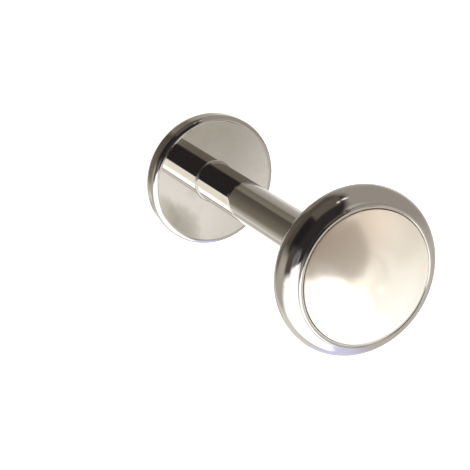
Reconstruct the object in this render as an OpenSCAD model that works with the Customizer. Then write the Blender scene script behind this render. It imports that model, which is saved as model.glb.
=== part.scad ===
// Flat-back labret stud: a back disc with a hollow post, and a push-in head
// made of a round bezel, its pin and a domed pearly stone.
// It stands on the disc, with +Z along the post, in millimetres.

/* [Back disc] */
// Diameter of the back disc
disc_d = 4.0; // [3:0.1:6]
// Thickness of the back disc
disc_t = 0.88; // [0.6:0.02:1.5]
// Radius of the rounding round the back of the disc
disc_back_round = 0.5; // [0.2:0.05:0.6]
// Radius of the rounding round the face of the disc
disc_face_round = 0.18; // [0.04:0.02:0.2]

/* [Post] */
// Diameter of the post, 1.2 mm being 16 gauge
post_d = 1.2; // [1:0.1:1.6]
// Wearing length, from the face of the disc to the underside of the head
wearing_l = 8; // [5:0.5:14]
// Radius of the weld bead where the post meets the disc
weld_r = 0.05; // [0.03:0.01:0.1]
// Chamfer round the mouth of the post
mouth_chamfer = 0.05; // [0.02:0.01:0.1]

/* [Pin] */
// Diameter of the pin under the head
pin_d = 0.6; // [0.4:0.05:0.8]
// Length of the pin under the head
pin_l = 4; // [2:0.5:4.5]
// Chamfer round the tip of the pin
pin_chamfer = 0.08; // [0.03:0.01:0.15]

/* [Bezel] */
// Diameter of the bezel
bezel_d = 4.7; // [4:0.1:7]
// Height of the bezel, without its lip
bezel_h = 1.15; // [0.9:0.05:1.6]
// Radius of the rounding under the rim
rim_low_round = 0.55; // [0.2:0.01:0.7]
// Radius of the rounding over the rim
rim_high_round = 0.59; // [0.2:0.01:0.7]
// Wall of the lip round the stone
lip_t = 0.12; // [0.08:0.01:0.2]
// Height of the lip above the bezel
lip_rise = 0.03; // [0.01:0.01:0.1]
// Thickness of the floor under the stone
cup_floor = 0.4; // [0.3:0.05:0.6]

/* [Stone] */
// Diameter of the stone
stone_d = 3.7; // [2.5:0.1:3.9]
// Height of the dome above the lip
dome_h = 0.93; // [0.5:0.05:1.5]

/* [Clearances] */
// Radial clearance of the pin in the post
pin_fit = 0.03; // [0.02:0.01:0.08]
// Depth left free past the tip of the pin
pin_end_gap = 0.3; // [0.1:0.1:0.6]
// Gap between the stone and the cup, at its side and under it
stone_fit = 0.02; // [0.01:0.01:0.05]
// Gap between the end of the post and the head
seat_gap = 0.01; // [0.005:0.005:0.03]

/* [Hidden] */
$fn = 96;

disc_r = disc_d / 2;
post_r = post_d / 2;
pin_r = pin_d / 2;
bezel_r = bezel_d / 2;
stone_r = stone_d / 2;
bore_r = pin_r + pin_fit;
bore_l = pin_l + pin_end_gap;
cup_r = stone_r + stone_fit;

// heights, counted from the back of the disc
head_z = disc_t + wearing_l;
post_top_z = head_z - seat_gap;
cup_floor_z = head_z + cup_floor;
bezel_top_z = head_z + bezel_h;
lip_top_z = bezel_top_z + lip_rise;

// a rounding never takes more than its share of the wall that it rounds
back_r = min(disc_back_round, 0.7 * disc_t);
face_r = min(disc_face_round, 0.25 * disc_t);
low_r = min(rim_low_round, 0.48 * bezel_h);
high_r = min(rim_high_round, 0.515 * bezel_h);

// the dome is the cap of a ball, whose radius follows from its width and height
ball_r = (stone_r * stone_r + dome_h * dome_h) / (2 * dome_h);

steel = [0.72, 0.70, 0.67];
pearl = [0.94, 0.92, 0.87];

// Quarter of a disc of radius r about (x, z), to the right of x, above or below z
module quarter(x, z, r, up) {
    translate([x, z])
        intersection() {
            circle(r);
            translate([0, up ? 0 : -r])
                square(r);
        }
}

// Half section of a round plate of radius r, from z0 up to z0 + h,
// with its lower outer edge rounded by low and its upper one by high
module plate_section(r, z0, h, low, high) {
    translate([0, z0])
        union() {
            polygon([
                [0, 0], [r - low, 0], [r - low, low], [r, low],
                [r, h - high], [r - high, h - high], [r - high, h], [0, h]
            ]);
            quarter(r - low, low, low, false);
            quarter(r - high, h - high, high, true);
        }
}

// Half section of a rod of radius r from z0 to z1, chamfered at its lower end
module pin_section(r, z0, z1, chamfer) {
    polygon([[0, z0], [r - chamfer, z0], [r, z0 + chamfer], [r, z1], [0, z1]]);
}

// Back disc and post, one piece of metal with a blind hole down the post
module disc_post() {
    color(steel)
        difference() {
            union() {
                rotate_extrude() plate_section(disc_r, 0, disc_t, back_r, face_r);
                translate([0, 0, disc_t - back_r / 2])
                    cylinder(r = post_r, h = post_top_z - disc_t + back_r / 2);
                rotate_extrude() translate([post_r, disc_t]) circle(weld_r);
            }
            translate([0, 0, post_top_z - bore_l])
                cylinder(r = bore_r, h = bore_l + seat_gap);
            translate([0, 0, post_top_z - mouth_chamfer])
                cylinder(r1 = bore_r, r2 = bore_r + 2 * mouth_chamfer, h = 2 * mouth_chamfer);
        }
}

// Bezel: a rounded cup with a thin lip round the stone, and the pin under it
module bezel() {
    color(steel)
        difference() {
            union() {
                rotate_extrude() plate_section(bezel_r, head_z, bezel_h, low_r, high_r);
                lip();
                rotate_extrude() pin_section(pin_r, head_z - pin_l, cup_floor_z, pin_chamfer);
            }
            translate([0, 0, cup_floor_z])
                cylinder(r = cup_r, h = lip_top_z);
        }
}

// Thin lip round the mouth of the cup, with a round top
module lip() {
    rotate_extrude() {
        translate([cup_r, cup_floor_z])
            square([lip_t, lip_top_z - lip_t / 2 - cup_floor_z]);
        translate([cup_r + lip_t / 2, lip_top_z - lip_t / 2])
            circle(lip_t / 2);
    }
}

// Domed stone: a short round rod whose top is cut to the cap of a ball
module cabochon() {
    color(pearl)
        intersection() {
            translate([0, 0, cup_floor_z + stone_fit])
                cylinder(r = stone_r, h = lip_top_z + 2 * dome_h - cup_floor_z - stone_fit);
            translate([0, 0, lip_top_z + dome_h - ball_r])
                sphere(ball_r);
        }
}

disc_post();
bezel();
cabochon();
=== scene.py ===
"""Flat-back labret stud: steel back disc and post, rounded steel bezel and a domed pearly stone.

The stud stands on its disc on a pale floor, in a small photo studio of soft sides.
Sizes are in millimetres, counted from the middle of the disc's back, and angles in degrees.
"""

import logging
import math
from abc import ABC, abstractmethod
from dataclasses import dataclass
from enum import Enum
from typing import ClassVar

import bmesh
import bpy
from mathutils import Color, Matrix, Vector


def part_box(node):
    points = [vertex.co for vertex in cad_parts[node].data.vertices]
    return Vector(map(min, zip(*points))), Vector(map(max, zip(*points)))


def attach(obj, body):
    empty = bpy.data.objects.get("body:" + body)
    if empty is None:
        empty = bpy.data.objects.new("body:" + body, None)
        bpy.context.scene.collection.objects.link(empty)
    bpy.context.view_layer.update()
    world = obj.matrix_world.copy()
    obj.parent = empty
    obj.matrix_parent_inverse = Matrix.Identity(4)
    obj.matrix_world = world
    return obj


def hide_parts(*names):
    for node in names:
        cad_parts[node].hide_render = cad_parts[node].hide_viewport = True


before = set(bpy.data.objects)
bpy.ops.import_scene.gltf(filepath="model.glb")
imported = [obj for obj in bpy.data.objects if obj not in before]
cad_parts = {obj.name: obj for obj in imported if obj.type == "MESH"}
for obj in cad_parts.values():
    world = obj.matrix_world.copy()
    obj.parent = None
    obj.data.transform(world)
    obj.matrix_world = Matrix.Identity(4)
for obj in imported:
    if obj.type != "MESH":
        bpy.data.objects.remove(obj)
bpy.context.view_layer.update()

MM = 0.001
HALF_TURN = 180.0
FULL_TURN = 360.0
LOG = logging.getLogger("labret_stud")

Socket = bpy.types.NodeSocket
Colour = tuple[float, float, float, float]


class Body(Enum):
    """The two parts of the stud that move apart."""

    BASE = "base"
    HEAD = "head"


class Slot(Enum):
    """The finishes that the record names."""

    STEEL = "polished_steel"
    PEARL = "pearl_stone"


class Tone(Enum):
    """The few tones of the studio, as the polished steel shows them."""

    WHITE = "ffffff"
    CREAM = "fffbee"
    PAPER = "f8f8f2"
    CHALK = "dcd9d2"
    LILAC = "c8c8e2"
    LINEN = "cbc8c0"
    PLASTER = "aea9a3"
    ASH = "a29d92"
    CLAY = "8f8981"
    STONE = "777064"
    TAUPE = "6b645a"
    STEEL_BLUE = "62626a"
    DUSK = "565048"
    DARK = "4a453f"
    SHADOW = "2b2829"
    BLACK = "1f1e20"

    def light(self, gain: float) -> Colour:
        """Turns the tone, as the eye sees it, into the linear light of a shader.

        Args:
            gain: how many times brighter than the tone the light is.

        Returns:
            Red, green, blue and an alpha of 1.
        """
        seen = Color([int(self.value[i:i + 2], 16) / 255 for i in (0, 2, 4)])
        red, green, blue = (gain * part for part in seen.from_srgb_to_scene_linear())
        return (red, green, blue, 1.0)


def put(name: str, data: bpy.types.ID) -> bpy.types.Object:
    """Puts a mesh, a lamp or a camera into the scene.

    Args:
        name: name of its object.
        data: what the object shows.

    Returns:
        The object, at the origin.
    """
    made = bpy.data.objects.new(name, data)
    bpy.context.scene.collection.objects.link(made)
    return made


class Section:
    """Half a section through the stud, drawn with a pen and then turned round the post's axis.

    AROUND edges make the full turn and QUARTER_STEPS a rounding. HOLD is how far inside its ends
    a straight run has its extra points, and points within SAME_PLACE, in metres, are merged.
    """

    AROUND = 256
    QUARTER_STEPS = 24
    HOLD = 0.004
    SAME_PLACE = 1e-8

    def __init__(self, radius: float, height: float) -> None:
        """Puts the pen down.

        Args:
            radius: distance from the axis.
            height: height above the floor.
        """
        self.mesh = bmesh.new()
        self.pen = self.mesh.verts.new((radius * MM, 0.0, height * MM))

    def step(self, radius: float, height: float) -> None:
        """Draws one edge.

        Args:
            radius: where it ends, from the axis.
            height: where it ends, above the floor.
        """
        made = bmesh.ops.extrude_vert_indiv(self.mesh, verts=[self.pen])
        self.pen = made["verts"][0]
        self.pen.co = (radius * MM, 0.0, height * MM)

    def line(self, radius: float, height: float) -> None:
        """Draws a straight run, with a point just inside each end that keeps its shading straight.

        Args:
            radius: where it ends, from the axis.
            height: where it ends, above the floor.
        """
        start = Vector((self.pen.co.x / MM, self.pen.co.z / MM))
        end = Vector((radius, height))
        along = (end - start).normalized() * self.HOLD
        self.step(*(start + along))
        self.step(*(end - along))
        self.step(*end)

    def arc(self, radius: float, height: float, turn: float, steps: int = QUARTER_STEPS) -> None:
        """Draws an arc from the pen.

        Args:
            radius: its centre, from the axis.
            height: its centre, above the floor.
            turn: how far it turns, positive from the outside downwards.
            steps: how many edges it has.
        """
        made = bmesh.ops.spin(
            self.mesh, geom=[self.pen], cent=(radius * MM, 0.0, height * MM),
            axis=(0.0, 1.0, 0.0), angle=math.radians(turn), steps=steps, use_duplicate=False,
        )
        ends = made["geom_last"]
        self.pen = next(part for part in ends if isinstance(part, bmesh.types.BMVert))

    def turned(self, name: str) -> bpy.types.Object:
        """Turns the section into a closed round piece.

        Args:
            name: name of the piece.

        Returns:
            The piece, in place.
        """
        bmesh.ops.spin(
            self.mesh, geom=self.mesh.verts[:] + self.mesh.edges[:], cent=(0.0, 0.0, 0.0),
            axis=(0.0, 0.0, 1.0), angle=math.tau, steps=self.AROUND, use_merge=True,
        )
        bmesh.ops.remove_doubles(self.mesh, verts=self.mesh.verts[:], dist=self.SAME_PLACE)
        bmesh.ops.recalc_face_normals(self.mesh, faces=self.mesh.faces[:])
        for face in self.mesh.faces:
            face.smooth = True
        data = bpy.data.meshes.new(name)
        self.mesh.to_mesh(data)
        self.mesh.free()
        return put(name, data)


class Graph:
    """A node tree that is being filled, with a short call for each kind of step.

    The MIX values are where a Mix node has its mask and its colours.
    """

    MIX_MASK = 0
    MIX_UNDER = 6
    MIX_OVER = 7
    MIX_RESULT = 2

    def __init__(self, tree: bpy.types.NodeTree) -> None:
        """Empties the tree."""
        self.tree = tree
        tree.nodes.clear()

    def node(
        self, kind: str, inputs: dict[str | int, object] | None = None, **settings: object,
    ) -> bpy.types.Node:
        """Adds a node.

        Args:
            kind: its type, without the leading ShaderNode.
            inputs: what each input holds, a value or another node's output.
            settings: its own properties.

        Returns:
            The node.
        """
        made = self.tree.nodes.new(kind if kind.startswith("Node") else "ShaderNode" + kind)
        for key, value in settings.items():
            setattr(made, key, value)
        for key, value in (inputs or {}).items():
            self.feed(made.inputs[key], value)
        return made

    def feed(self, socket: Socket, value: object) -> None:
        """Gives an input its value.

        Args:
            socket: the input.
            value: a number, a colour, or the output that it is linked to.
        """
        if isinstance(value, bpy.types.NodeSocket):
            self.tree.links.new(value, socket)
        else:
            socket.default_value = value

    def sum(self, operation: str, *values: object) -> Socket:
        """Works out one sum.

        Args:
            operation: its name, as the Math node has it.
            values: its terms, numbers or outputs.

        Returns:
            The result.
        """
        made = self.node("Math", dict(enumerate(values)), operation=operation)
        return made.outputs[0]

    def length(self, first: Socket, second: Socket) -> Socket:
        """Works out the length of a vector in a plane.

        Args:
            first: one part of it.
            second: the part square to that.

        Returns:
            The length.
        """
        squares = [self.sum("MULTIPLY", part, part) for part in (first, second)]
        return self.sum("SQRT", self.sum("ADD", *squares))

    def ease(
        self, value: Socket, low: object, high: object, start: float = 0.0, end: float = 1.0,
    ) -> Socket:
        """Runs smoothly from one value to another.

        Args:
            value: what is looked at.
            low: where the run starts.
            high: where it ends.
            start: the value up to there.
            end: the value from there on.

        Returns:
            The eased value.
        """
        made = self.node("MapRange", {
            "Value": value, "From Min": low, "From Max": high, "To Min": start, "To Max": end,
        }, interpolation_type="SMOOTHSTEP")
        return made.outputs["Result"]

    def mix(self, mask: Socket, under: object, over: object) -> Socket:
        """Lays one colour over another.

        Args:
            mask: where it is laid.
            under: the colour below.
            over: the colour on top.

        Returns:
            The mixed colour.
        """
        laid = {self.MIX_MASK: mask, self.MIX_UNDER: under, self.MIX_OVER: over}
        return self.node("Mix", laid, data_type="RGBA").outputs[self.MIX_RESULT]

    def object_place(self) -> Socket:
        """Reads where a point is on the piece."""
        return self.node("TexCoord").outputs["Object"]


def blank_material(name: str) -> tuple[bpy.types.Material, Graph]:
    """Makes a material that has no nodes yet.

    Args:
        name: its name.

    Returns:
        The material and its node tree.
    """
    material = bpy.data.materials.new(name)
    material.use_nodes = True
    return material, Graph(material.node_tree)


class Effect(ABC):
    """A look that materials share, as a node group that they place with values of their own."""

    NAME: ClassVar[str]
    SETTINGS: ClassVar[tuple[str, ...]]
    RESULTS: ClassVar[tuple[str, ...]]

    def __init__(self) -> None:
        """Builds the group once."""
        self.tree = bpy.data.node_groups.new(self.NAME, "ShaderNodeTree")
        face = self.tree.interface
        face.new_socket(name="Place", in_out="INPUT", socket_type="NodeSocketVector")
        for name in self.SETTINGS:
            face.new_socket(name=name, in_out="INPUT", socket_type="NodeSocketFloat")
        for name in self.RESULTS:
            face.new_socket(name=name, in_out="OUTPUT", socket_type="NodeSocketFloat")
        graph = Graph(self.tree)
        given = graph.node("NodeGroupInput").outputs
        graph.node("NodeGroupOutput", self.results(graph, given))

    @abstractmethod
    def results(self, graph: Graph, given: bpy.types.NodeOutputs) -> dict[str, Socket]:
        """Works out what the group puts out.

        Args:
            graph: the group's nodes.
            given: what the material gives it.

        Returns:
            Each result by its name.
        """

    def place(self, graph: Graph, settings: dict[str, float]) -> bpy.types.NodeOutputs:
        """Puts the effect into a material.

        Args:
            graph: the material's nodes.
            settings: the material's own values, by name.

        Returns:
            The results.
        """
        inputs = {"Place": graph.object_place(), **settings}
        return graph.node("Group", inputs, node_tree=self.tree).outputs


class Handling(Effect):
    """Marks of polishing and handling: faint smudges, a few specks, and turning lines.

    Only the share of cells past SPECK_RARITY holds a speck, which fades out over SPECK_RUN.
    """

    NAME = "handling_marks"
    SETTINGS = ("Smudge Scale", "Speck Scale", "Line Scale")
    RESULTS = ("Smudge", "Speck", "Height")
    SMUDGE_DETAIL = 3.0
    SMUDGE_RUN = (0.5, 0.72)
    SPECK_RARITY = 0.94
    SPECK_RUN = (0.06, 0.18)
    LINE_DETAIL = 2.0

    def results(self, graph: Graph, given: bpy.types.NodeOutputs) -> dict[str, Socket]:
        """Works out the marks.

        Args:
            graph: the group's nodes.
            given: the place, and how many marks there are to a metre.

        Returns:
            The masks of smudges and specks, and the height of the lines.
        """
        place = given["Place"]
        smudge = graph.node("TexNoise", {
            "Vector": place, "Scale": given["Smudge Scale"], "Detail": self.SMUDGE_DETAIL,
        }).outputs
        speck = graph.node("TexVoronoi", {
            "Vector": place, "Scale": given["Speck Scale"],
        }).outputs
        parts = graph.node("SeparateXYZ", {"Vector": place}).outputs
        section = graph.node("CombineXYZ", {
            "X": graph.length(parts["X"], parts["Y"]), "Y": parts["Z"],
        }).outputs
        lines = graph.node("TexNoise", {
            "Vector": section[0], "Scale": given["Line Scale"], "Detail": self.LINE_DETAIL,
        }).outputs
        drawn = graph.node("SeparateColor", {"Color": speck["Color"]}).outputs
        rare = graph.sum("GREATER_THAN", drawn[0], self.SPECK_RARITY)
        small = graph.ease(speck["Distance"], *self.SPECK_RUN, 1.0, 0.0)
        return {
            "Smudge": graph.ease(smudge["Fac"], *self.SMUDGE_RUN),
            "Speck": graph.sum("MULTIPLY", rare, small),
            "Height": lines["Fac"],
        }


class WeldBead(Effect):
    """The uneven bead of a weld round the foot of a post, whole over the CORE of its reach."""

    NAME = "weld_bead"
    SETTINGS = ("Radius", "Level", "Reach", "Scale")
    RESULTS = ("Bead", "Height")
    CORE = 0.4
    LUMP_DETAIL = 1.0

    def results(self, graph: Graph, given: bpy.types.NodeOutputs) -> dict[str, Socket]:
        """Works out the bead.

        Args:
            graph: the group's nodes.
            given: the place, and where the bead is, how far it reaches and its lumps to a metre.

        Returns:
            The mask of the bead, and the height of its lumps.
        """
        parts = graph.node("SeparateXYZ", {"Vector": given["Place"]}).outputs
        beside = graph.sum("SUBTRACT", graph.length(parts["X"], parts["Y"]), given["Radius"])
        above = graph.sum("SUBTRACT", parts["Z"], given["Level"])
        core = graph.sum("MULTIPLY", given["Reach"], self.CORE)
        bead = graph.ease(graph.length(beside, above), core, given["Reach"], 1.0, 0.0)
        lumps = graph.node("TexNoise", {
            "Vector": given["Place"], "Scale": given["Scale"], "Detail": self.LUMP_DETAIL,
        }).outputs
        return {"Bead": bead, "Height": graph.sum("MULTIPLY", bead, lumps["Fac"])}


@dataclass(frozen=True)
class Steel:
    """Mirror-polished surgical steel, faintly warm, with a dull weld at the foot of the post.

    The weld's radius, level and reach are in millimetres, the depths in metres, and the scales
    count marks to a metre.
    """

    clean: Colour = (0.72, 0.70, 0.675, 1.0)
    smudged: Colour = (0.66, 0.64, 0.61, 1.0)
    lint: Colour = (0.90, 0.88, 0.85, 1.0)
    welded: Colour = (0.58, 0.56, 0.54, 1.0)
    clean_roughness: float = 0.03
    smudged_roughness: float = 0.055
    lint_roughness: float = 0.3
    weld_roughness: float = 0.2
    smudge_scale: float = 900.0
    speck_scale: float = 3400.0
    line_scale: float = 30000.0
    line_strength: float = 0.5
    line_depth: float = 1.0e-7
    weld_r: float = 0.605
    weld_level: float = 0.885
    weld_reach: float = 0.05
    lump_scale: float = 4200.0
    lump_depth: float = 5.0e-6

    def made(self, marks: Handling, bead: WeldBead) -> bpy.types.Material:
        """Makes the material.

        Args:
            marks: the shared marks of handling.
            bead: the shared look of a weld.

        Returns:
            The material.
        """
        material, graph = blank_material(Slot.STEEL.value)
        worn = marks.place(graph, {
            "Smudge Scale": self.smudge_scale, "Speck Scale": self.speck_scale,
            "Line Scale": self.line_scale,
        })
        weld = bead.place(graph, {
            "Radius": self.weld_r * MM, "Level": self.weld_level * MM,
            "Reach": self.weld_reach * MM, "Scale": self.lump_scale,
        })
        colour = graph.mix(worn["Smudge"], self.clean, self.smudged)
        colour = graph.mix(worn["Speck"], colour, self.lint)
        colour = graph.mix(weld["Bead"], colour, self.welded)
        roughness = graph.ease(
            worn["Smudge"], 0.0, 1.0, self.clean_roughness, self.smudged_roughness)
        for mask, added in (
            (worn["Speck"], self.lint_roughness),
            (weld["Bead"], self.weld_roughness),
        ):
            roughness = graph.sum("ADD", roughness, graph.sum("MULTIPLY", mask, added))
        lines = graph.node("Bump", {
            "Height": worn["Height"], "Strength": self.line_strength, "Distance": self.line_depth,
        })
        lumps = graph.node("Bump", {
            "Height": weld["Height"], "Strength": 1.0, "Distance": self.lump_depth,
            "Normal": lines.outputs[0],
        })
        shader = graph.node("BsdfPrincipled", {
            "Base Color": colour, "Roughness": roughness, "Metallic": 1.0,
            "Normal": lumps.outputs[0],
        })
        graph.node("OutputMaterial", {"Surface": shader.outputs[0]})
        return material


@dataclass(frozen=True)
class Pearl:
    """Opaque pearly white stone: a soft deep gloss over faintly clouded nacre.

    The depth is in metres, and the scales count marks to a metre.
    """

    warm: Colour = (0.95, 0.88, 0.785, 1.0)
    cool: Colour = (0.93, 0.90, 0.84, 1.0)
    rosy: Colour = (0.95, 0.855, 0.78, 1.0)
    metallic: float = 0.61
    roughness: float = 0.21
    cloudy_roughness: float = 0.25
    coat: float = 0.5
    coat_roughness: float = 0.05
    smudge_scale: float = 700.0
    cloud_scale: float = 420.0
    cloud_detail: float = 3.0
    cloud_warp: float = 0.6
    cloud_run: tuple[float, float] = (0.35, 0.65)
    cloud_strength: float = 0.2
    cloud_depth: float = 2.0e-6
    blush_scale: float = 260.0
    blush_detail: float = 1.0
    blush_run: tuple[float, float] = (0.5, 0.8)

    def made(self, marks: Handling) -> bpy.types.Material:
        """Makes the material.

        Args:
            marks: the shared marks of handling.

        Returns:
            The material.
        """
        material, graph = blank_material(Slot.PEARL.value)
        worn = marks.place(graph, {"Smudge Scale": self.smudge_scale})
        where = graph.object_place()
        cloud = graph.node("TexNoise", {
            "Vector": where, "Scale": self.cloud_scale, "Detail": self.cloud_detail,
            "Distortion": self.cloud_warp,
        }).outputs
        blush = graph.node("TexNoise", {
            "Vector": where, "Scale": self.blush_scale, "Detail": self.blush_detail,
        }).outputs
        colour = graph.mix(graph.ease(cloud["Fac"], *self.cloud_run), self.warm, self.cool)
        colour = graph.mix(graph.ease(blush["Fac"], *self.blush_run), colour, self.rosy)
        roughness = graph.ease(worn["Smudge"], 0.0, 1.0, self.roughness, self.cloudy_roughness)
        bump = graph.node("Bump", {
            "Height": cloud["Fac"], "Strength": self.cloud_strength,
            "Distance": self.cloud_depth,
        })
        shader = graph.node("BsdfPrincipled", {
            "Base Color": colour, "Roughness": roughness, "Metallic": self.metallic,
            "Normal": bump.outputs[0], "Coat Weight": self.coat,
            "Coat Roughness": self.coat_roughness,
        })
        graph.node("OutputMaterial", {"Surface": shader.outputs[0]})
        return material


class StudPiece(ABC):
    """What the pieces of the stud share: each is a turned section and stands for one solid."""

    NAME: ClassVar[str]
    NODE: ClassVar[str]
    BODY: ClassVar[Body]
    SLOT: ClassVar[Slot]

    @classmethod
    def spans(cls) -> tuple[float, float, float]:
        """Measures the solid that the piece stands for.

        Returns:
            Its radius, its lowest height and its highest one.
        """
        low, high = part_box(cls.NODE)
        return ((high[0] - low[0]) / 2 / MM, low[2] / MM, high[2] / MM)

    @abstractmethod
    def drawn(self) -> Section:
        """Draws the section of the piece, from the axis round to the axis again.

        Returns:
            The section.
        """

    def build(self) -> bpy.types.Object:
        """Makes the piece, in place."""
        return self.drawn().turned(self.NAME)

    def dress(self, piece: bpy.types.Object, finish: bpy.types.Material) -> None:
        """Gives the piece its finish and its place in the stud.

        Args:
            piece: the piece.
            finish: its material.
        """
        piece.data.materials.append(finish)
        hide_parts(self.NODE)
        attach(piece, self.BODY.value)


@dataclass
class DiscPost(StudPiece):
    """The flat back disc and the hollow post welded to it, one piece of metal."""

    NAME = "back_disc_and_post"
    NODE = "disc_post"
    BODY = Body.BASE
    SLOT = Slot.STEEL

    disc_r: float
    post_top: float
    disc_t: float = 0.88
    back_round: float = 0.5
    face_round: float = 0.18
    post_r: float = 0.6
    weld_r: float = 0.022
    weld_steps: int = 8
    edge_round: float = 0.03
    edge_steps: int = 6
    bore_r: float = 0.33
    bore_l: float = 4.3
    mouth_chamfer: float = 0.05

    @classmethod
    def fitted(cls) -> "DiscPost":
        """Takes the disc's width and the post's length from the frame."""
        radius, _, top = cls.spans()
        return cls(disc_r=radius, post_top=top)

    def drawn(self) -> Section:
        """Draws the disc, the weld, the outside of the post and then its bore.

        Returns:
            The section.
        """
        face = self.disc_t - self.face_round
        edge = self.post_top - self.edge_round
        bore_floor = self.post_top - self.bore_l
        pen = Section(0.0, 0.0)
        pen.line(self.disc_r - self.back_round, 0.0)
        pen.arc(self.disc_r - self.back_round, self.back_round, -90.0)
        pen.line(self.disc_r, face)
        pen.arc(self.disc_r - self.face_round, face, -90.0)
        pen.line(self.post_r + self.weld_r, self.disc_t)
        pen.arc(self.post_r, self.disc_t, -90.0, self.weld_steps)
        pen.line(self.post_r, edge)
        pen.arc(self.post_r - self.edge_round, edge, -90.0, self.edge_steps)
        pen.line(self.bore_r + self.mouth_chamfer, self.post_top)
        pen.line(self.bore_r, self.post_top - self.mouth_chamfer)
        pen.line(self.bore_r, bore_floor)
        pen.line(0.0, bore_floor)
        return pen


@dataclass
class Bezel(StudPiece):
    """The rounded metal setting with its thin lip round the stone, and the pin under it."""

    NAME = "bezel_and_pin"
    NODE = "bezel"
    BODY = Body.HEAD
    SLOT = Slot.STEEL

    bezel_r: float
    pin_foot: float
    lip_top: float
    pin_l: float = 4.0
    pin_r: float = 0.3
    pin_chamfer: float = 0.08
    bezel_h: float = 1.15
    low_round: float = 0.55
    high_round: float = 0.59
    lip_out: float = 1.99
    lip_steps: int = 16
    cup_r: float = 1.86
    cup_floor: float = 0.4

    @classmethod
    def fitted(cls) -> "Bezel":
        """Takes the bezel's width and heights from the frame."""
        radius, low, high = cls.spans()
        return cls(bezel_r=radius, pin_foot=low, lip_top=high)

    def drawn(self) -> Section:
        """Draws the pin, the underside, the rim, the lip and then the cup.

        Returns:
            The section.
        """
        under = self.pin_foot + self.pin_l
        lip_r = (self.lip_out - self.cup_r) / 2
        high_x = self.bezel_r - self.high_round
        high_z = under + self.bezel_h - self.high_round
        shoulder = math.acos((self.lip_out - high_x) / self.high_round)
        shoulder_z = high_z + self.high_round * math.sin(shoulder)
        pen = Section(0.0, self.pin_foot)
        pen.line(self.pin_r - self.pin_chamfer, self.pin_foot)
        pen.line(self.pin_r, self.pin_foot + self.pin_chamfer)
        pen.line(self.pin_r, under)
        pen.line(self.bezel_r - self.low_round, under)
        pen.arc(self.bezel_r - self.low_round, under + self.low_round, -90.0)
        pen.line(self.bezel_r, high_z)
        pen.arc(high_x, high_z, -math.degrees(shoulder))
        pen.step(self.lip_out, shoulder_z + pen.HOLD)
        pen.line(self.lip_out, self.lip_top - lip_r)
        pen.arc(self.lip_out - lip_r, self.lip_top - lip_r, -180.0, self.lip_steps)
        pen.line(self.cup_r, under + self.cup_floor)
        pen.line(0.0, under + self.cup_floor)
        return pen


@dataclass
class Cabochon(StudPiece):
    """The domed stone, whose top is the cap of a ball."""

    NAME = "pearl_cabochon"
    NODE = "cabochon"
    BODY = Body.HEAD
    SLOT = Slot.PEARL

    stone_r: float
    foot: float
    top: float
    dome_h: float = 0.93
    dome_steps: int = 64

    @classmethod
    def fitted(cls) -> "Cabochon":
        """Takes the stone's width and heights from the frame."""
        radius, low, high = cls.spans()
        return cls(stone_r=radius, foot=low, top=high)

    def drawn(self) -> Section:
        """Draws the underside, the girdle and then the dome.

        Returns:
            The section.
        """
        ball_r = (self.stone_r ** 2 + self.dome_h ** 2) / (2 * self.dome_h)
        swing = math.degrees(math.asin(self.stone_r / ball_r))
        pen = Section(0.0, self.foot)
        pen.line(self.stone_r, self.foot)
        pen.line(self.stone_r, self.top - self.dome_h)
        pen.arc(0.0, self.top - ball_r, -swing, self.dome_steps)
        return pen


@dataclass(frozen=True)
class Side:
    """One soft-edged side of the studio, placed by directions as the stud sees them.

    Its edges blur over `edge` to the left and right, and over `fade` above and below, or over
    `edge` there too where `fade` is 0. It climbs by `lean` and shifts by `slant` for each degree.
    """

    name: str
    tone: Tone
    azimuth: float
    half_width: float
    low: float
    high: float
    edge: float = 5.0
    fade: float = 0.0
    gain: float = 1.0
    lean: float = 0.0
    slant: float = 0.0

    def mask(self, graph: Graph, azimuth: Socket, height: Socket) -> Socket:
        """Marks where the side is.

        Args:
            graph: the world's nodes.
            azimuth: the direction looked in, round the post.
            height: how far above the horizon that is.

        Returns:
            1 on the side and 0 off it.
        """
        fade = self.fade or self.edge
        middle = graph.sum("ADD", self.azimuth, graph.sum("MULTIPLY", height, self.slant))
        off = graph.sum("WRAP", graph.sum("SUBTRACT", azimuth, middle), HALF_TURN, -HALF_TURN)
        level = graph.sum("SUBTRACT", height, graph.sum("MULTIPLY", off, self.lean))
        across = graph.ease(
            graph.sum("ABSOLUTE", off),
            self.half_width - self.edge, self.half_width + self.edge, 1.0, 0.0)
        above = graph.ease(level, self.low - fade, self.low + fade)
        below = graph.ease(level, self.high - fade, self.high + fade, 1.0, 0.0)
        return graph.sum("MULTIPLY", across, graph.sum("MULTIPLY", above, below))


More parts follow.
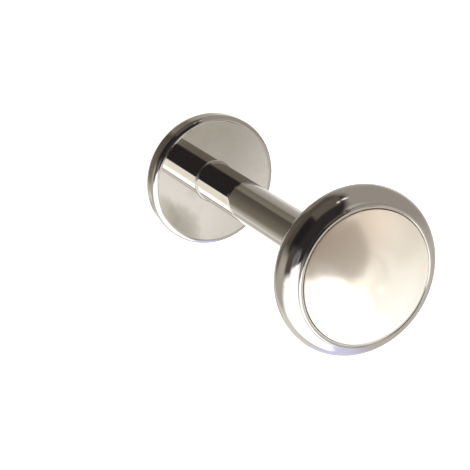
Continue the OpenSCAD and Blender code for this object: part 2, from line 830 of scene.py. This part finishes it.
@dataclass(frozen=True)
class Studio:
    """What surrounds the stud: a bench below and sides round it, each over the ones before it.

    Tones are given as the steel shows them, and it shows the share `shown` of what it mirrors.
    The camera sees a plain backdrop instead, from `horizon` to `backdrop` over `sweep`.
    """

    shown: float = 0.70
    horizon: Colour = (1.0, 1.0, 1.0, 1.0)
    backdrop: Colour = (0.72, 0.72, 0.72, 1.0)
    sweep: float = 9.0
    room: Tone = Tone.CLAY
    bench_edge: tuple[float, float] = (-52.0, -42.0)
    bench: tuple[tuple[float, Tone], ...] = (
        (0.0, Tone.DUSK), (66.0, Tone.STONE), (84.0, Tone.CHALK), (104.0, Tone.PLASTER),
        (118.0, Tone.PLASTER), (136.0, Tone.PAPER), (190.0, Tone.PAPER), (235.0, Tone.PLASTER),
        (286.0, Tone.CLAY), (296.0, Tone.TAUPE), (324.0, Tone.STONE), (335.0, Tone.DARK),
        (360.0, Tone.DUSK),
    )
    sides: tuple[Side, ...] = (
        Side("ceiling", Tone.LINEN, 0.0, 190.0, 73.0, 100.0),
        Side("dark ceiling", Tone.DUSK, 350.0, 60.0, 66.0, 92.0, edge=8.0),
        Side("upper room", Tone.CLAY, 275.0, 18.0, 22.0, 66.0, edge=9.0),
        Side("back wall", Tone.PLASTER, 182.0, 31.0, -46.0, 73.0, edge=11.0, slant=0.1),
        Side("upper wall", Tone.PLASTER, 220.0, 26.0, 42.0, 73.0, edge=7.0),
        Side("high wall", Tone.PLASTER, 245.0, 42.0, 50.0, 77.0, edge=8.0),
        Side("far bench", Tone.LINEN, 190.0, 50.0, -54.0, -28.0, edge=8.0, fade=12.0, lean=-0.2),
        Side("pale bench", Tone.LINEN, 108.0, 30.0, -50.0, -14.0, edge=6.0),
        Side("face light", Tone.CHALK, 174.0, 5.5, 54.0, 68.0, edge=1.3),
        Side("face shade", Tone.ASH, 186.5, 6.0, 59.0, 68.0, edge=1.3, lean=-0.1),
        Side("face glow", Tone.LINEN, 180.5, 4.0, 54.0, 58.5, edge=0.8),
        Side("face patch", Tone.ASH, 176.5, 1.0, 58.8, 60.0, edge=0.15, lean=0.5),
        Side("lilac edge", Tone.LILAC, 142.0, 12.0, -38.0, 32.0, edge=9.0, fade=5.0),
        Side("reflector", Tone.WHITE, 87.0, 49.5, -17.0, 72.0,
             edge=3.5, fade=6.0, gain=1.15, lean=0.2),
        Side("reflector corner", Tone.CHALK, 130.0, 18.0, 50.0, 92.0, lean=-0.4),
        Side("cream strip", Tone.CREAM, 66.0, 22.0, 58.0, 61.2, edge=8.0, fade=0.6),
        Side("bright strip", Tone.WHITE, 98.0, 14.0, 58.0, 61.2, edge=10.0, fade=0.6, gain=1.6),
        Side("corner shade", Tone.ASH, 122.0, 5.0, 58.0, 61.2, edge=2.0, fade=0.6),
        Side("upper shade", Tone.TAUPE, 247.0, 48.0, 58.0, 61.2, edge=6.0, fade=0.6),
        Side("bench front", Tone.ASH, 57.0, 29.0, -52.0, -1.0, edge=9.0, fade=13.0, lean=-0.7),
        Side("dark bench", Tone.DARK, 340.0, 42.0, -50.0, 0.0, edge=9.0),
        Side("dark room", Tone.SHADOW, 340.0, 42.0, -15.0, 78.0, fade=10.0),
        Side("dim corner", Tone.DARK, 28.0, 18.0, -4.0, 30.0, edge=6.0, fade=9.0),
        Side("deep corner", Tone.SHADOW, 24.0, 15.0, 54.0, 80.0, edge=3.0),
        Side("blue corner", Tone.STEEL_BLUE, 26.0, 10.0, 32.0, 51.0),
        Side("dark shelf", Tone.SHADOW, 328.0, 18.0, 16.0, 76.0, edge=8.0, slant=-0.42),
        Side("black doorway", Tone.BLACK, 357.0, 17.0, -13.0, 30.0, edge=6.0, fade=9.0),
        Side("grey door", Tone.DUSK, 320.0, 17.0, -22.0, 23.0, edge=2.5, fade=7.0),
        Side("far lamp", Tone.CHALK, 299.0, 3.0, 5.0, 13.0, edge=2.5, gain=1.2),
        Side("second lamp", Tone.CHALK, 306.5, 1.6, 8.0, 16.0, edge=1.8),
        Side("near lamp", Tone.PAPER, 54.0, 1.6, -2.0, 4.0, edge=1.5),
    )

    def build(self) -> None:
        """Paints the world with the sides, and as a plain pale backdrop for the camera."""
        world = bpy.data.worlds.new("studio")
        bpy.context.scene.world = world
        world.use_nodes = True
        graph = Graph(world.node_tree)
        way = graph.node("TexCoord").outputs["Generated"]
        parts = graph.node("SeparateXYZ", {"Vector": way}).outputs
        azimuth = graph.sum("DEGREES", graph.sum("ARCTAN2", parts["Y"], parts["X"]))
        height = graph.sum("DEGREES", graph.sum("ARCSINE", parts["Z"]))
        room = self.room.light(1.0 / self.shown)
        paint = graph.mix(
            graph.ease(height, *self.bench_edge), self.bench_ring(graph, azimuth), room)
        for side in self.sides:
            mask = side.mask(graph, azimuth, height)
            paint = graph.mix(mask, paint, side.tone.light(side.gain / self.shown))
            paint.node.label = side.name
        pale = graph.mix(graph.ease(height, 0.0, self.sweep), self.horizon, self.backdrop)
        seen = graph.node("Background", {"Color": pale})
        lit = graph.node("Background", {"Color": paint})
        both = graph.node("MixShader", {
            0: graph.node("LightPath").outputs["Is Camera Ray"],
            1: lit.outputs[0],
            2: seen.outputs[0],
        })
        graph.node("OutputWorld", {"Surface": both.outputs[0]})

    def bench_ring(self, graph: Graph, azimuth: Socket) -> Socket:
        """Paints the bench round the stud.

        Args:
            graph: the world's nodes.
            azimuth: the direction looked in, round the post.

        Returns:
            The bench's colour.
        """
        turn = graph.sum("DIVIDE", graph.sum("WRAP", azimuth, FULL_TURN, 0.0), FULL_TURN)
        ring = graph.node("ValToRGB", {"Fac": turn})
        stops = ring.color_ramp.elements
        while len(stops) < len(self.bench):
            stops.new(0.5)
        for stop, (angle, tone) in zip(stops, self.bench):
            stop.position = angle / FULL_TURN
            stop.color = tone.light(1.0 / self.shown)
        return ring.outputs[0]


@dataclass(frozen=True)
class Floor:
    """The pale floor, which runs out softly into the backdrop. Only the camera sees it."""

    half_side: float = 150.0
    whole_r: float = 22.0
    gone_r: float = 140.0
    paint: Colour = (0.9, 0.9, 0.9, 1.0)
    roughness: float = 0.9
    glow: float = 0.65

    def build(self) -> bpy.types.Object:
        """Lays the floor.

        Returns:
            The floor.
        """
        mesh = bmesh.new()
        bmesh.ops.create_grid(mesh, x_segments=1, y_segments=1, size=self.half_side * MM)
        data = bpy.data.meshes.new("floor")
        mesh.to_mesh(data)
        mesh.free()
        floor = put("floor", data)
        data.materials.append(self.made())
        return floor

    def made(self) -> bpy.types.Material:
        """Makes its material, which shows to the camera alone, and only from above.

        Returns:
            The material.
        """
        material, graph = blank_material("pale_floor")
        parts = graph.node("SeparateXYZ", {"Vector": graph.object_place()}).outputs
        away = graph.length(parts["X"], parts["Y"])
        there = graph.ease(away, self.whole_r * MM, self.gone_r * MM, 1.0, 0.0)
        above = graph.sum("SUBTRACT", 1.0, graph.node("NewGeometry").outputs["Backfacing"])
        camera = graph.node("LightPath").outputs["Is Camera Ray"]
        seen = graph.sum("MULTIPLY", graph.sum("MULTIPLY", camera, above), there)
        matt = graph.node("BsdfPrincipled", {
            "Base Color": self.paint, "Roughness": self.roughness,
            "Emission Color": self.paint, "Emission Strength": self.glow,
        })
        clear = graph.node("BsdfTransparent")
        both = graph.node("MixShader", {0: seen, 1: clear.outputs[0], 2: matt.outputs[0]})
        graph.node("OutputMaterial", {"Surface": both.outputs[0]})
        return material


def aimed(
    target: Vector, azimuth: float, elevation: float, distance: float, roll: float = 0.0,
) -> Matrix:
    """Works out where something stands that looks at a target.

    Args:
        target: what it looks at.
        azimuth: where it stands round the post, from +X towards +Y.
        elevation: how far above the horizon it stands.
        distance: how far from the target.
        roll: how far it is turned about its own axis, counterclockwise from behind.

    Returns:
        Its place, in metres.
    """
    turn, rise = math.radians(azimuth), math.radians(elevation)
    level = math.cos(rise)
    back = Vector((level * math.cos(turn), level * math.sin(turn), math.sin(rise)))
    facing = back.to_track_quat("Z", "Y").to_matrix().to_4x4()
    stand = Matrix.Translation((target + back * distance) * MM)
    return stand @ facing @ Matrix.Rotation(math.radians(roll), 4, "Z")


@dataclass(frozen=True)
class SoftLight:
    """A soft lamp that lights the floor and the stone, and that the steel doesn't mirror."""

    name: str
    azimuth: float
    elevation: float
    power: float
    colour: tuple[float, float, float]
    target: tuple[float, float, float] = (0.0, 0.0, 5.0)
    distance: float = 120.0
    size: float = 110.0

    def build(self) -> bpy.types.Object:
        """Hangs the lamp, facing the stud.

        Returns:
            The lamp.
        """
        data = bpy.data.lights.new(self.name, "AREA")
        data.shape = "DISK"
        data.size = self.size * MM
        data.energy = self.power
        data.color = self.colour
        lamp = put(self.name, data)
        lamp.matrix_world = aimed(
            Vector(self.target), self.azimuth, self.elevation, self.distance)
        lamp.visible_glossy = False
        return lamp


LAMPS = (
    SoftLight("warm_key", 260.0, 20.0, power=0.195, colour=(1.0, 0.95, 0.86)),
    SoftLight("cool_fill", 122.0, 28.0, power=0.31, colour=(0.86, 0.96, 1.0)),
    SoftLight("front_fill", 350.0, 25.0, power=0.045, colour=(1.0, 0.66, 0.40)),
)


@dataclass(frozen=True)
class ViewPoint:
    """The photograph's camera: close above the head, with a long lens and tipped to one side."""

    target: tuple[float, float, float] = (0.034, 0.993, 3.539)
    azimuth: float = -1.938
    elevation: float = 57.958
    distance: float = 55.327
    roll: float = 124.003
    field_of_view: float = 13.92

    def build(self) -> bpy.types.Object:
        """Makes the camera and hands it to the scene.

        Returns:
            The camera.
        """
        data = bpy.data.cameras.new("camera")
        data.angle = math.radians(self.field_of_view)
        data.clip_start = MM
        data.dof.use_dof = False
        camera = put("camera", data)
        camera.matrix_world = aimed(
            Vector(self.target), self.azimuth, self.elevation, self.distance, self.roll)
        bpy.context.scene.camera = camera
        return camera


def main() -> None:
    """Builds the stud and its studio, and reports each piece."""
    logging.basicConfig(level=logging.INFO, format="%(message)s")
    ViewPoint().build()
    marks = Handling()
    steel = Steel().made(marks, WeldBead())
    pearl = Pearl().made(marks)
    for part, finish in (
        (DiscPost.fitted(), steel),
        (Bezel.fitted(), steel),
        (Cabochon.fitted(), pearl),
    ):
        piece = part.build()
        part.dress(piece, finish)
        faces = len(piece.data.polygons)
        LOG.info("%s: %d faces, moves with the %s", piece.name, faces, part.BODY.value)
    Studio().build()
    Floor().build()
    for lamp in LAMPS:
        lamp.build()
    bpy.context.scene.view_settings.view_transform = "Standard"


if __name__ == "__main__":
    main()
